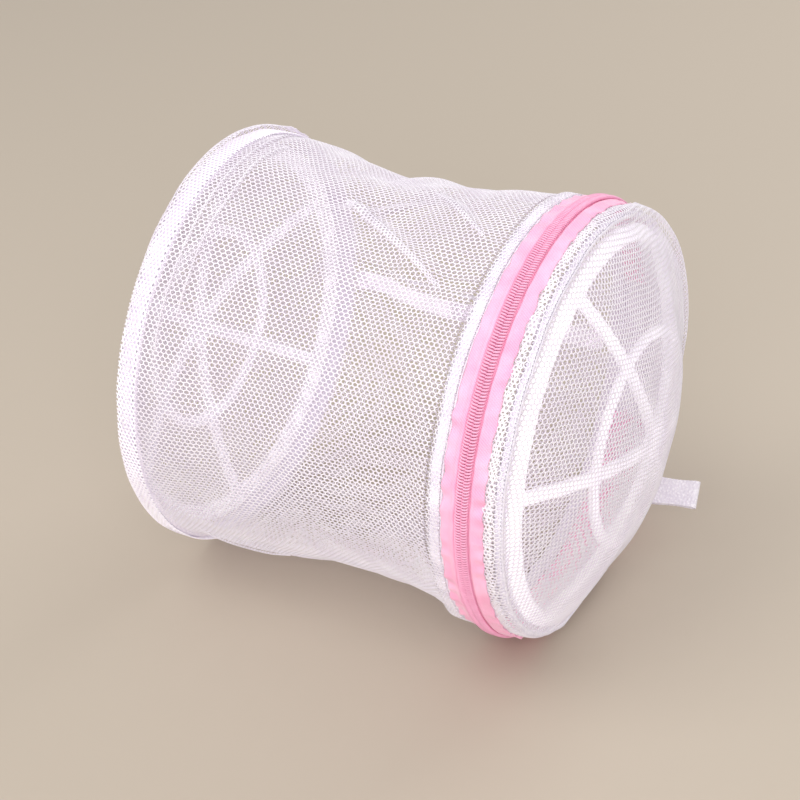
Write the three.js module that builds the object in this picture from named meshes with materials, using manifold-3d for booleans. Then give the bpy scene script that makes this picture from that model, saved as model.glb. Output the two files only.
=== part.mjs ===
// Mesh laundry bag: a cylindrical net wash bag lying on its side, with a domed plastic cage in
// each end and a coil zip round the mouth. Millimetres, +Z up, the drum's axis along +X, the
// zipped lid at +X, the hinge side of the lid at +Y, the surface it lies on at Z = 0.
import * as THREE from 'three';
import { mergeVertices } from 'three/addons/utils/BufferGeometryUtils.js';
import Module from 'manifold-3d';

const wasm = await Module();
wasm.setup();

// ---- driving dimensions -------------------------------------------------------------------
const AXIS_Z = 74;          // height of the drum's axis above the surface
const RIB_DEG = 6;          // angle between the ribs of every round piece
const CLEAR = 0.3;          // gap between sewn layers, so that no two solids share a face

const BASE_RIM_X = 71;      // plane of each cage's rim, from the middle of the drum
const LID_RIM_X = 67;
const BASE_RISE = 18;       // how far each cage bulges beyond its rim
const LID_RISE = 22;
const BASE_RIM_R = 71;      // outer radius of the base cage
const LID_RIM_R = 69.5;     // outer radius of the lid cage
const CAGE_THICK = 2.2;
const RIM_WIDTH = 6.5;
const SPOKE_WIDTH = 5;
const SPOKES = 6;
const MID_RING_R = 36;      // centre line of the ring half way out
const MID_RING_WIDTH = 4;
const HUB_R = 8;
const WINDOW_FILLET = 2;    // corner radius of the windows between the spokes
const BASE_SPOKE_DEG = 26;  // first spoke, from +Y towards +Z
const LID_SPOKE_DEG = 53;

const NET_THICK = 0.5;      // one layer of net
const NET_SKIRT = 4;        // how far each cap's net turns down past the rim
const BIND_THICK = 2;       // bound seam round each rim
const BASE_BIND = [-5.5, 1.8];   // its two edges, outward from the rim plane
const LID_BIND = [-1.5, 1.8];

const WALL_THICK = 0.8;     // the drum's side, a doubled net
const WALL = [[-65.2, 73.6], [-55, 72.2], [-38, 70.9], [-18, 70.3], [4, 70.6], [24, 72], [43, 74]];
const SEAM_DEG = -6;         // lengthwise seam, in line with the hinge
const SEAM_WIDTH = 6;
const SEAM_THICK = 0.8;

const HEM = { x0: 43.3, x1: 48.4, r0: 73, r1: 74.6 };
const ZIP_X = 56;           // line where the two rows of coil meet
const TAPE = { r0: 73.8, r1: 74.5, body: 48.7, lid: 62.9 };
const COIL = { r0: 74.8, r1: 76.5, width: 1.8 };
const ZIP_START_DEG = 14;   // the zip runs from here over the top to ZIP_END_DEG
const ZIP_END_DEG = 335;
const STOP_DEG = 2;         // how far inside each end of the tape the stop is clamped
const STOP = { length: 2, width: 2.2, height: 2.1 };
const SKIRT = [[63.2, 74.1], [64.2, 73.8], [65.2, 73.3]];   // net between the lid's tape and its rim

const SLIDER_DEG = -33;     // closed position, on the hidden side below the hinge
const SLIDER = { r0: 76.9, length: 11, width: 9, thick: 1.6, flange: 1.7 };
const BRIDGE = { length: 7, top: 3.4, width: 2, height: 3.6, hole: 1.05, axle: 1.6 };
const PULL = { length: 21, width: 5, thick: 1.2, eye: 2.8, reach: 4.4 };

const TAB_DEG = -46;        // folded fabric tab, out of the lid's bound seam
const TAB_SKEW = -8;        // it slants a little round the drum
const TAB = { x: 70.4, r: 72.8, width: 10, length: 19, thick: 2.8, slit: 0.8 };

const NET_WHITE = 0xebe8f3;
const PLASTIC_WHITE = 0xf2f1f6;
const ZIP_PINK = 0xf5a8c4;
const METAL_PINK = 0xf2a3be;

const rad = (deg) => (deg * Math.PI) / 180;
const AXIS_TILT = Math.PI / 2;
const BASE_BIND_X = -BASE_RIM_X - BASE_BIND[0];   // inner edge of the base's bound seam
const bindingR = (rimR) => rimR + 2 * CLEAR + 2 * NET_THICK + BIND_THICK;

// ---- solids -------------------------------------------------------------------------------
function material(color, roughness, metalness = 0) {
  return new THREE.MeshStandardMaterial({ color, roughness, metalness });
}

const net = () => material(NET_WHITE, 0.85);
const plastic = () => material(PLASTIC_WHITE, 0.35);
const tape = () => material(ZIP_PINK, 0.8);
const coil = () => material(ZIP_PINK, 0.4);
const metal = () => material(METAL_PINK, 0.3, 0.5);

// Joins equal corners and drops the slivers that close up on the axis.
function welded(geometry) {
  const bare = geometry.clone();
  bare.deleteAttribute('normal');
  bare.deleteAttribute('uv');
  const joined = mergeVertices(bare, 1e-4);
  const index = joined.index.array;
  const kept = [];
  for (let i = 0; i < index.length; i += 3) {
    const [a, b, c] = [index[i], index[i + 1], index[i + 2]];
    if (a !== b && b !== c && c !== a) kept.push(a, b, c);
  }
  joined.setIndex(kept);
  return joined;
}

function signedVolume(geometry) {
  const p = geometry.attributes.position;
  const [a, b, c] = [new THREE.Vector3(), new THREE.Vector3(), new THREE.Vector3()];
  let sum = 0;
  for (let i = 0; i < geometry.index.count; i += 3) {
    a.fromBufferAttribute(p, geometry.index.getX(i));
    b.fromBufferAttribute(p, geometry.index.getX(i + 1));
    c.fromBufferAttribute(p, geometry.index.getX(i + 2));
    sum += a.dot(b.cross(c));
  }
  return sum / 6;
}

// Every face looks out of the solid.
function outward(geometry) {
  const solid = welded(geometry);
  if (signedVolume(solid) < 0) {
    const index = solid.index.array;
    for (let i = 0; i < index.length; i += 3) {
      [index[i + 1], index[i + 2]] = [index[i + 2], index[i + 1]];
    }
  }
  return solid;
}

function toManifold(geometry) {
  const solid = outward(geometry);
  return new wasm.Manifold(new wasm.Mesh({
    numProp: 3,
    vertProperties: new Float32Array(solid.attributes.position.array),
    triVerts: new Uint32Array(solid.index.array),
  }));
}

function fromManifold(manifold) {
  const mesh = manifold.getMesh();
  const geometry = new THREE.BufferGeometry();
  geometry.setAttribute('position', new THREE.BufferAttribute(mesh.vertProperties, 3));
  geometry.setIndex(new THREE.BufferAttribute(mesh.triVerts, 1));
  return geometry;
}

// Spins a closed outline of [x, radius] points about the drum's axis.
function spun(outline) {
  const points = outline.map(([x, r]) => new THREE.Vector2(r, x));
  const onAxis = outline[0][1] === 0 && outline[outline.length - 1][1] === 0;
  if (!onAxis) points.push(points[0].clone());
  return new THREE.LatheGeometry(points, 360 / RIB_DEG).rotateZ(-AXIS_TILT);
}

// Extrudes a shape drawn in the plane across the axis, from x0 to x1.
function across(shape, x0, x1) {
  const geometry = new THREE.ExtrudeGeometry(shape, {
    depth: x1 - x0, bevelEnabled: false, curveSegments: 3,
  });
  return geometry.rotateY(AXIS_TILT).translate(x0, 0, 0);
}

// A point of that plane, at an angle from +Y towards +Z.
function polar(r, deg) {
  return new THREE.Vector2(-r * Math.sin(rad(deg)), r * Math.cos(rad(deg)));
}

function arcAngles(from, to) {
  const angles = [from];
  for (let a = Math.ceil(from / RIB_DEG) * RIB_DEG; a < to; a += RIB_DEG) {
    if (a > from) angles.push(a);
  }
  return [...angles, to];
}

// A band of a ring, between two radii and two angles.
function band(r0, r1, from, to, x0, x1) {
  const angles = arcAngles(from, to);
  const points = [
    ...angles.map((a) => polar(r1, a)),
    ...angles.reverse().map((a) => polar(r0, a)),
  ];
  return across(new THREE.Shape(points), x0, x1);
}

// Lying down, the bag flattens where it meets the surface: whatever is below the axis is drawn
// in towards it, so that the outermost ring at each station ends level with the surface.
function settled(geometry) {
  const solid = outward(geometry);
  const p = solid.attributes.position;
  const [baseEdge, coilEdge] = [BASE_BIND_X, ZIP_X - CLEAR / 2 - COIL.width];
  for (let i = 0; i < p.count; i += 1) {
    const [x, y, z] = [p.getX(i), p.getY(i), p.getZ(i)];
    const below = -z / Math.hypot(y, z);
    const share = THREE.MathUtils.clamp((x - baseEdge) / (coilEdge - baseEdge), 0, 1);
    const widest = THREE.MathUtils.lerp(bindingR(BASE_RIM_R), COIL.r1, share);
    const scale = below > 0 ? Math.min(1, AXIS_Z / (widest * below)) : 1;
    p.setXYZ(i, x, y * scale, z * scale);
  }
  return solid;
}

function sewn(name, geometry, look) {
  const mesh = new THREE.Mesh(settled(geometry), look);
  mesh.name = name;
  mesh.position.z = AXIS_Z;
  return mesh;
}

// A rigid piece drawn with X along the axis, Y round the drum and Z outward, set at an angle.
function standing(name, geometry, look, deg) {
  const mesh = new THREE.Mesh(outward(geometry), look);
  mesh.name = name;
  const turn = new THREE.Group();
  turn.rotation.x = rad(deg - 90);
  turn.position.z = AXIS_Z;
  turn.add(mesh);
  return turn;
}

// ---- cages --------------------------------------------------------------------------------
// Both ends are drawn alike: end is -1 at the base and 1 at the lid.
const riseAt = (end) => (end > 0 ? LID_RISE : BASE_RISE);

// Height of the dome over the rim plane, a spherical cap.
function dome(r, rimR, end) {
  const rise = riseAt(end);
  const sphere = (rimR * rimR + rise * rise) / (2 * rise);
  return Math.sqrt(sphere * sphere - r * r) - (sphere - rise);
}

// Outward from an end's rim plane to the drum's own X.
const atEnd = (end, s) => end * ((end > 0 ? LID_RIM_X : BASE_RIM_X) + s);

function domeLine(rimR, offset, r1, end, count) {
  const line = [];
  for (let i = 0; i <= count; i += 1) {
    const r = (r1 * i) / count;
    line.push([atEnd(end, dome(Math.min(r, rimR), rimR, end) + offset), r]);
  }
  return line;
}

// A window between two spokes and two rings, with rounded corners.
function cageWindow(rIn, rOut, deg) {
  const pitch = 360 / SPOKES;
  const lean = (r) => Math.asin(SPOKE_WIDTH / 2 / r) / rad(1);
  const from = (r) => deg + lean(r);
  const to = (r) => deg + pitch - lean(r);
  const trim = (r) => Math.min(WINDOW_FILLET / r / rad(1), (to(r) - from(r)) / 4);
  const path = new THREE.Path();
  const line = (r, a) => path.lineTo(...polar(r, a));
  const corner = (r0, a0, r1, a1) => path.quadraticCurveTo(...polar(r0, a0), ...polar(r1, a1));
  const arc = (r, a0, a1) => {
    const count = Math.max(2, Math.round(Math.abs(a1 - a0) / RIB_DEG));
    for (let i = 1; i <= count; i += 1) line(r, a0 + ((a1 - a0) * i) / count);
  };
  const [low, high] = [rIn + WINDOW_FILLET, rOut - WINDOW_FILLET];
  path.moveTo(...polar(low, from(low)));
  line(high, from(high));
  corner(rOut, from(rOut), rOut, from(rOut) + trim(rOut));
  arc(rOut, from(rOut) + trim(rOut), to(rOut) - trim(rOut));
  corner(rOut, to(rOut), high, to(high));
  line(low, to(low));
  corner(rIn, to(rIn), rIn, to(rIn) - trim(rIn));
  arc(rIn, to(rIn) - trim(rIn), from(rIn) + trim(rIn));
  corner(rIn, from(rIn), low, from(low));
  return path;
}

function cage(name, rimR, end, firstDeg) {
  const half = CAGE_THICK / 2;
  const shell = spun([
    ...domeLine(rimR, half, rimR, end, 6),
    ...domeLine(rimR, -half, rimR, end, 6).reverse(),
  ]);
  const plan = new THREE.Shape(arcAngles(0, 360 - RIB_DEG).map((a) => polar(rimR + 1, a)));
  for (let i = 0; i < SPOKES; i += 1) {
    const deg = firstDeg + (360 * i) / SPOKES;
    plan.holes.push(cageWindow(HUB_R, MID_RING_R - MID_RING_WIDTH / 2, deg));
    plan.holes.push(cageWindow(MID_RING_R + MID_RING_WIDTH / 2, rimR - RIM_WIDTH, deg));
  }
  const [near, far] = [atEnd(end, -5), atEnd(end, riseAt(end) + 5)];
  const cutter = across(plan, Math.min(near, far), Math.max(near, far));
  const solid = toManifold(shell).intersect(toManifold(cutter));
  return sewn(name, fromManifold(solid), plastic());
}

// A layer of net over one face of a cage, turned down past its rim.
function capNet(name, rimR, end, face) {
  const near = CAGE_THICK / 2 + CLEAR + 0.1;
  const far = near + NET_THICK;
  const [top, under] = face > 0 ? [far, near] : [-near, -far];
  const wallR = face > 0 ? rimR + CLEAR + 0.1 : rimR - 0.4;
  const foot = atEnd(end, -NET_SKIRT);
  const outline = [
    ...domeLine(rimR, top, wallR + NET_THICK, end, 5),
    [foot, wallR + NET_THICK],
    [foot, wallR],
    ...domeLine(rimR, under, wallR, end, 5).reverse(),
  ];
  return sewn(name, spun(outline), net());
}

// The bound seam round a rim, a rounded band.
function binding(name, rimR, end, [s0, s1]) {
  const r0 = rimR + 2 * CLEAR + 0.1 + NET_THICK;
  const r1 = bindingR(rimR);
  const round = 0.7;
  const outline = [
    [atEnd(end, s0), r0], [atEnd(end, s0), r1 - round], [atEnd(end, s0 + round), r1],
    [atEnd(end, s1 - round), r1], [atEnd(end, s1), r1 - round], [atEnd(end, s1), r0],
  ];
  return sewn(name, spun(outline), net());
}

// ---- drum ---------------------------------------------------------------------------------
function thickened(profile, thick) {
  return [...profile, ...profile.map(([x, r]) => [x, r - thick]).reverse()];
}

function sideMesh() {
  return sewn('side_mesh', spun(thickened(WALL, WALL_THICK)), net());
}

function sideSeam() {
  const edge = WALL.map(([x, r], i) => {
    const trim = i === 0 ? CLEAR : i === WALL.length - 1 ? -CLEAR : 0;
    return new THREE.Vector2(x + trim, r + CLEAR + 0.1);
  });
  const top = edge.map((p) => new THREE.Vector2(p.x, p.y + SEAM_THICK)).reverse();
  const strip = new THREE.ExtrudeGeometry(new THREE.Shape([...edge, ...top]), {
    depth: SEAM_WIDTH, bevelEnabled: false,
  });
  strip.translate(0, 0, -SEAM_WIDTH / 2).rotateX(AXIS_TILT);
  return standing('side_seam', strip, net(), SEAM_DEG);
}

function collarHem() {
  const round = 0.5;
  const { x0, x1, r0, r1 } = HEM;
  const outline = [
    [x0, r0], [x0, r1 - round], [x0 + round, r1], [x1 - round, r1], [x1, r1 - round], [x1, r0],
  ];
  return sewn('collar_hem', spun(outline), net());
}

function hingePatch() {
  const edge = 0.5;
  const from = ZIP_END_DEG - 360 + edge;
  const solid = band(TAPE.r0, TAPE.r1, from, ZIP_START_DEG - edge, TAPE.body, TAPE.lid);
  return sewn('hinge_patch', solid, net());
}

// ---- zip ----------------------------------------------------------------------------------
function zipTape(name, x0, x1) {
  const solid = band(TAPE.r0, TAPE.r1, ZIP_START_DEG, ZIP_END_DEG, x0, x1);
  return sewn(name, solid, tape());
}

// One row of coil, an octagonal bead along the tape's edge.
function zipCoil(name, x0, x1) {
  const from = ZIP_START_DEG + STOP_DEG + 1.5;
  const to = ZIP_END_DEG - STOP_DEG - 1.5;
  const chamfer = 0.4;
  const base = toManifold(band(COIL.r0, COIL.r1 - chamfer, from, to, x0, x1));
  const crown = toManifold(band(COIL.r0 + chamfer, COIL.r1, from, to, x0 + chamfer, x1 - chamfer));
  return sewn(name, fromManifold(base.add(crown)), coil());
}

function zipStop(name, deg) {
  const { length, width, height } = STOP;
  const x = ZIP_X - CLEAR / 2 - width / 2;
  const block = new THREE.BoxGeometry(width, length, height);
  block.translate(x, 0, COIL.r0 + height / 2);
  return standing(name, block, coil(), deg);
}

// Top plate with a bridge for the pull and one lip down the drum's side of the coil.
function zipSlider() {
  const { r0, length, width, thick, flange } = SLIDER;
  const outline = new THREE.Shape();
  const [hw, hl, cut] = [width / 2, length / 2, 1.8];
  outline.moveTo(-hw, -hl + cut);
  outline.lineTo(-hw, hl - cut);
  outline.quadraticCurveTo(-hw, hl, -hw + cut, hl);
  outline.lineTo(hw - cut, hl);
  outline.quadraticCurveTo(hw, hl, hw, hl - cut);
  outline.lineTo(hw, -hl + cut);
  outline.quadraticCurveTo(hw, -hl, hw - cut, -hl);
  outline.lineTo(-hw + cut, -hl);
  outline.quadraticCurveTo(-hw, -hl, -hw, -hl + cut);
  const plate = new THREE.ExtrudeGeometry(outline, {
    depth: thick, bevelEnabled: false, curveSegments: 4,
  });
  plate.translate(ZIP_X, 0, r0);

  const drop = r0 - TAPE.r1 - 2 * CLEAR;
  const lip = new THREE.BoxGeometry(flange, length - 2 * cut, drop + thick / 2);
  lip.translate(ZIP_X - hw + flange / 2, 0, r0 + thick / 4 - drop / 2);

  const arch = new THREE.Shape();
  arch.moveTo(-BRIDGE.length / 2, -thick / 2);
  arch.lineTo(BRIDGE.length / 2, -thick / 2);
  arch.lineTo(BRIDGE.length / 2, BRIDGE.height * 0.3);
  arch.quadraticCurveTo(BRIDGE.length / 2, BRIDGE.height, BRIDGE.top / 2, BRIDGE.height);
  arch.lineTo(-BRIDGE.top / 2, BRIDGE.height);
  arch.quadraticCurveTo(-BRIDGE.length / 2, BRIDGE.height, -BRIDGE.length / 2, BRIDGE.height * 0.3);
  arch.holes.push(new THREE.Path().absarc(0, BRIDGE.axle, BRIDGE.hole, 0, 2 * Math.PI));
  const bridge = new THREE.ExtrudeGeometry(arch, {
    depth: BRIDGE.width, bevelEnabled: false, curveSegments: 10,
  });
  // drawn as (round the drum, outward), extruded along the axis
  bridge.rotateY(AXIS_TILT).rotateX(AXIS_TILT);
  bridge.translate(ZIP_X - BRIDGE.width / 2, 0, r0 + thick);

  const solid = toManifold(plate).add(toManifold(lip)).add(toManifold(bridge));
  return standing('zip_slider', fromManifold(solid), metal(), SLIDER_DEG);
}

// Flat pull with a square eye round the bridge, hanging straight down from its axle.
function zipPull() {
  const { length, width, thick, eye, reach } = PULL;
  const half = width / 2;
  const plate = new THREE.Shape();
  plate.moveTo(-half, thick / 2);
  plate.lineTo(-half, -length + half);
  plate.absarc(0, -length + half, half, Math.PI, 2 * Math.PI);
  plate.lineTo(half, thick / 2);
  plate.lineTo(-half, thick / 2);
  const window = new THREE.Path();
  window.moveTo(-eye / 2, -thick / 2);
  window.lineTo(-eye / 2, -reach);
  window.lineTo(eye / 2, -reach);
  window.lineTo(eye / 2, -thick / 2);
  window.lineTo(-eye / 2, -thick / 2);
  const finger = new THREE.Path().absarc(0, -length + half, half * 0.5, 0, 2 * Math.PI);
  plate.holes.push(window, finger);
  const solid = new THREE.ExtrudeGeometry(plate, {
    depth: thick, bevelEnabled: false, curveSegments: 10,
  });
  // drawn as (along the axis, up), extruded sideways
  solid.translate(0, 0, -thick / 2).rotateX(AXIS_TILT);
  const mesh = new THREE.Mesh(outward(solid), metal());
  mesh.name = 'zip_pull';
  const r = SLIDER.r0 + SLIDER.thick + BRIDGE.axle;
  const at = rad(SLIDER_DEG);
  mesh.position.set(ZIP_X, r * Math.cos(at), AXIS_Z + r * Math.sin(at));
  return mesh;
}

// ---- lid pieces ---------------------------------------------------------------------------
function lidSkirt() {
  return sewn('lid_skirt', spun(thickened(SKIRT, WALL_THICK)), net());
}

// A band of knitted fabric folded over on itself, its two ends caught in the seam.
function tabLoop() {
  const { x, r, width, length, thick, slit } = TAB;
  const [half, inner] = [thick / 2, slit / 2];
  const fold = new THREE.Shape();
  fold.moveTo(inner, 0);
  fold.lineTo(half, 0);
  fold.lineTo(half, length - half);
  fold.absarc(0, length - half, half, 0, Math.PI);
  fold.lineTo(-half, 0);
  fold.lineTo(-inner, 0);
  fold.lineTo(-inner, length - half);
  fold.absarc(0, length - half, inner, Math.PI, 0, true);
  fold.lineTo(inner, 0);
  const solid = new THREE.ExtrudeGeometry(fold, {
    depth: width, bevelEnabled: false, curveSegments: 8,
  });
  // drawn as (outward, along the axis), extruded round the drum
  const [along, round, outwards] = [[1, 0, 0], [0, 1, 0], [0, 0, 1]].map(
    (v) => new THREE.Vector3(...v));
  solid.translate(0, 0, -width / 2)
    .applyMatrix4(new THREE.Matrix4().makeBasis(outwards, along, round))
    .rotateZ(rad(TAB_SKEW)).translate(x, 0, r);
  return standing('tab_loop', solid, net(), TAB_DEG);
}

// ---- assembly -----------------------------------------------------------------------------
const MEET = CLEAR / 2;

const drum = new THREE.Group();
drum.add(
  sideMesh(),
  sideSeam(),
  collarHem(),
  zipTape('zip_tape_body', TAPE.body, ZIP_X - MEET),
  zipCoil('zip_coil_body', ZIP_X - MEET - COIL.width, ZIP_X - MEET),
  zipStop('zip_stop_closed', ZIP_END_DEG - STOP_DEG),
  zipStop('zip_stop_open', ZIP_START_DEG + STOP_DEG),
  hingePatch(),
);

const base = new THREE.Group();
base.add(
  cage('base_cage', BASE_RIM_R, -1, BASE_SPOKE_DEG),
  capNet('base_net_outer', BASE_RIM_R, -1, 1),
  capNet('base_net_inner', BASE_RIM_R, -1, -1),
  binding('base_binding', BASE_RIM_R, -1, BASE_BIND),
);

const lid = new THREE.Group();
lid.add(
  cage('lid_cage', LID_RIM_R, 1, LID_SPOKE_DEG),
  capNet('lid_net_outer', LID_RIM_R, 1, 1),
  capNet('lid_net_inner', LID_RIM_R, 1, -1),
  binding('lid_binding', LID_RIM_R, 1, LID_BIND),
  lidSkirt(),
  zipTape('zip_tape_lid', ZIP_X + MEET, TAPE.lid),
  zipCoil('zip_coil_lid', ZIP_X + MEET, ZIP_X + MEET + COIL.width),
  tabLoop(),
);

const runner = new THREE.Group();
runner.add(zipSlider(), zipPull());

const group = new THREE.Group();
group.add(drum, base, lid, runner);

export default group;
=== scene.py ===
"""Mesh laundry bag: the looks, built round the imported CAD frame.

Metres. The drum's axis runs along +X, the zipped lid is at +X and its hinge side at +Y. A place on
the drum is given by x, the radius from the drum's axis and an angle from +Y towards +Z.
"""
import math

import bmesh
import bpy
import numpy as np
from mathutils import Matrix, Vector


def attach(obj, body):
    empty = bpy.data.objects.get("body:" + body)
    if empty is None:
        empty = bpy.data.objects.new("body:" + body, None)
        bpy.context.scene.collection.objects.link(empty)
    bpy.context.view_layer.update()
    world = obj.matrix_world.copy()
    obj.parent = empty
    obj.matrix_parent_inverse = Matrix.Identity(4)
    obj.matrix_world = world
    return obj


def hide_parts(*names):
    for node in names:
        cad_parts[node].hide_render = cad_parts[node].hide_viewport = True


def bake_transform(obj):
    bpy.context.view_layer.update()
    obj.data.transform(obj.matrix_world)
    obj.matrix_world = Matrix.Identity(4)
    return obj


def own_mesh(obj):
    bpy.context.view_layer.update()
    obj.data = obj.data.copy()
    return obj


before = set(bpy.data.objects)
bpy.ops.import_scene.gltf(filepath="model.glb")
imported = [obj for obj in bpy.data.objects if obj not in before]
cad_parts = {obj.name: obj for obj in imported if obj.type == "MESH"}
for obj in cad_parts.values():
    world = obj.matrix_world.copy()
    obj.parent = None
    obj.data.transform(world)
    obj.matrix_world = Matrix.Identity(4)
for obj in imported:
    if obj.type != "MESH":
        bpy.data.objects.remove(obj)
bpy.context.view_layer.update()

# ---- dimensions -------------------------------------------------------------------------------
MM = 0.001
AXIS_Z = 74 * MM
BASE_RIM_X, LID_RIM_X = 71 * MM, 67 * MM     # planes of the cages' rims, from the middle
BASE_RISE, LID_RISE = 18 * MM, 22 * MM       # how far each cage bulges beyond its rim
BASE_RIM_R, LID_RIM_R = 71 * MM, 69.5 * MM
CAGE_THICK = 2.2 * MM
RIM_WIDTH = 6.5 * MM
SPOKE_WIDTH = 5 * MM
SPOKES = 6
MID_RING_R = 36 * MM
MID_RING_WIDTH = 4.2 * MM
HUB_R = 7 * MM
HUB_FACE_R, HUB_MIDDLE_R = 6.2 * MM, 0.01 * MM
# The hub's half section: radius, and height as a share of half its thickness.
HUB_SECTION = [(HUB_MIDDLE_R, 1), (HUB_FACE_R, 1), (HUB_R, 0.3), (HUB_R, -0.3), (HUB_FACE_R, -1),
               (HUB_MIDDLE_R, -1)]
HUB_STOUTER, RIM_STOUTER = 0.6, 1.1          # half the hub, and the whole rim, by the cage's thickness
BAR_ROUNDING = 0.42          # corner of a bar's section, by its thickness
BASE_SPOKE_DEG = 26
LID_SPOKE_DEG = 53

# Sewn bands: inner edge, outer edge, inner and outer radius.
BASE_BIND = (-65.5 * MM, -72.9 * MM, 72.0 * MM, 74.6 * MM)
LID_BIND = (65.4 * MM, 68.7 * MM, 71.0 * MM, 72.6 * MM)
HEM = (43.6 * MM, 48.4 * MM, 73.0 * MM, 74.2 * MM)

# Round strips of net: station and radius in millimetres, along the drum.
SKIRT_LINE = [(56.9, 73.3), (61, 73.3), (63, 73.8), (65, 73.8), (67, 72.9), (67.2, 72.9)]
HEM_COVER = [(43.2, 74.45), (49, 74.45)]
RIM_COVER = [(-73, 74.6), (-71.6, 75.3), (-66, 75.3), (-63.6, 74.9)]
BAND_STITCHES = 330          # round the drum
CHEVRON = 1.6 * MM           # half a zigzag of stitches, across a band
STITCH_HEIGHT = 0.12 * MM

# The surface that the bag lies on flattens it between two stations, to a chord of these radii.
SETTLE_FROM, SETTLE_TO = -65.5 * MM, 54.05 * MM
SETTLE_R = (74.6 * MM, 76.5 * MM)
LOWEST = 0.2 * MM            # no thread's middle lies lower than this over the surface

ZIP_X = 56 * MM
ZIP_START, ZIP_END = math.radians(14), math.radians(335)
TAPE_R = 74.2 * MM
TAPE_BODY = (48.5 * MM, 55.9 * MM)
TAPE_LID = (62.9 * MM, 56.1 * MM)
TAPE_THICK = 0.4 * MM
COIL_R = 75.5 * MM
COIL_PITCH = 1.0 * MM
COIL_WIRE = 0.36 * MM        # radius of the nylon
COIL_INSET = math.radians(3.5)               # the coil stops this far inside the tape's ends
CLOSED_STOP_DEG, OPEN_STOP_DEG = 333, 16

HINGE_X = (47.6 * MM, 64.8 * MM)
HINGE_R = 74.3 * MM
SLIDER_DEG = -33
SLIDER_R = 76.9 * MM
TAB_DEG, TAB_SKEW = -46, -8
TAB_X, TAB_R = 70.4 * MM, 72.8 * MM
TAB_LENGTH, TAB_WIDTH = 19 * MM, 9.8 * MM

# The side net's silhouette: stations, and its radius there on top and underneath.
WALL_STATIONS = np.array([-66, -55, -42, -30, -18, -4, 10, 24, 36, 44]) * MM
WALL_TOP = np.array([74.4, 74.2, 71.6, 70.0, 68.2, 68.9, 69.2, 71.6, 73.2, 74.0]) * MM
WALL_UNDER = np.array([73.4, 71.8, 70.6, 70.2, 69.8, 68.4, 67.2, 67.8, 70.2, 73.6]) * MM

NET_ALONG = 1.96 * MM        # cell pitch along the drum
NET_ROUND = 1.35 * MM        # row pitch round it
NET_THICK = 0.26 * MM
# Size of a hole as a share of its cell: one layer, the lining of a cage, and net that lies double.
NET_HOLE, LINING_HOLE, DOUBLE_HOLE = 0.8, 0.85, 0.66
PLEAT_HOLE, LAP_HOLE, RIM_HOLE = 0.76, 0.5, 0.7
WALL_R = 71 * MM             # turns an angle on the side into a distance round it
WAVE_R = 70 * MM             # the same for its soft swells
ROW_R = 72 * MM              # the radius at which a round net's rows have their true pitch

SIDE_X = (-66.3 * MM, 44.6 * MM)
SIDE_PANELS = 3
SEAM_DEG, SEAM_WIDTH = -6, 8.6 * MM
CAGES = {"base": "base_cage_moulding", "lid": "lid_cage_moulding"}

# Where loose net stands off a rim: middle and spread in degrees, height.
LID_SLACK = (6, 46, 6.8 * MM)
BASE_SLACK = (96, 50, 2.8 * MM)

# A cap's outer net and its lining: turned corner, gap inside the rim, skirt, turn in degrees.
OVER_CAGE = (3.0 * MM, 0.3 * MM, 3.0 * MM, 17)
UNDER_CAGE = (0.5 * MM, 0.8 * MM, 1.5 * MM, -31)
CAP_EASE = 1.02              # length of net over the dome for a unit of its radius
CAP_SAG = 0.9 * MM           # dip between the spokes

# Pleats of the side: lines of station and angle in degrees, width in millimetres.
PLEATS = [
    ([(-21, 97), (-7, 105), (6.5, 112), (20, 119), (32, 125)], 5.4),
    ([(5.5, 85), (14.5, 92), (22, 98), (30.5, 103.5), (38.5, 108)], 4.4),
    ([(-60, 70), (-61, 115), (-60, 160)], 2.8),
    ([(-54, 82), (-55.5, 120), (-54.5, 150)], 2.6),
    ([(-52, 20), (-30, 30), (-12, 38)], 2.4),
    ([(2, 296), (22, 304), (38, 316)], 2.4),
    ([(-60, 222), (-42, 230), (-26, 236)], 2.4),
]
PLEAT_LAYERS = [(0.0, 0.5 * MM), (0.9 * MM, 0.9 * MM)]       # shift along the pleat, height
PLEAT_NARROWING = 0.7        # share of its width that a pleat loses by its far end
LAP_LAYERS = [(0.5 * MM, -0.4 * MM), (1.4 * MM, 0.5 * MM)]   # the same for the seam


# ---- places on the drum -----------------------------------------------------------------------
def settle(x, angle):
    """How far the surface the bag lies on pushes in a point at that station and angle."""
    below = -np.sin(angle)
    share = np.clip((x - SETTLE_FROM) / (SETTLE_TO - SETTLE_FROM), 0, 1)
    widest = SETTLE_R[0] + (SETTLE_R[1] - SETTLE_R[0]) * share
    return np.where(below > 0.5, np.minimum(1, AXIS_Z / (widest * np.maximum(below, 0.5))), 1)


def on_drum(x, r, angle):
    """World points from stations, radii and angles, flattened where the bag lies."""
    x, r, angle = np.broadcast_arrays(*(np.asarray(v, float) for v in (x, r, angle)))
    r = r * settle(x, angle)
    height = np.maximum(AXIS_Z + r * np.sin(angle), LOWEST)
    return np.stack([x, r * np.cos(angle), height], -1)


def waves(a, b, scale, seed, count=7):
    """A smooth wandering value of about -1 to 1 over a plane."""
    draw = np.random.default_rng(seed)
    total = np.zeros(np.broadcast(a, b).shape)
    for _ in range(count):
        way, phase = draw.uniform(0, 2 * np.pi, 2)
        k = 2 * np.pi / (scale * draw.uniform(0.7, 1.5))
        total += np.sin(k * (a * np.cos(way) + b * np.sin(way)) + phase)
    return total / math.sqrt(count)


def ring_waves(angle, lowest, highest, seed):
    """A smooth wandering value round the drum that meets itself."""
    draw = np.random.default_rng(seed)
    total = np.zeros(np.shape(angle))
    for k in range(lowest, highest + 1):
        total += draw.normal() * np.sin(k * angle + draw.uniform(0, 2 * np.pi))
    return total / math.sqrt(highest - lowest + 1)


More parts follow.
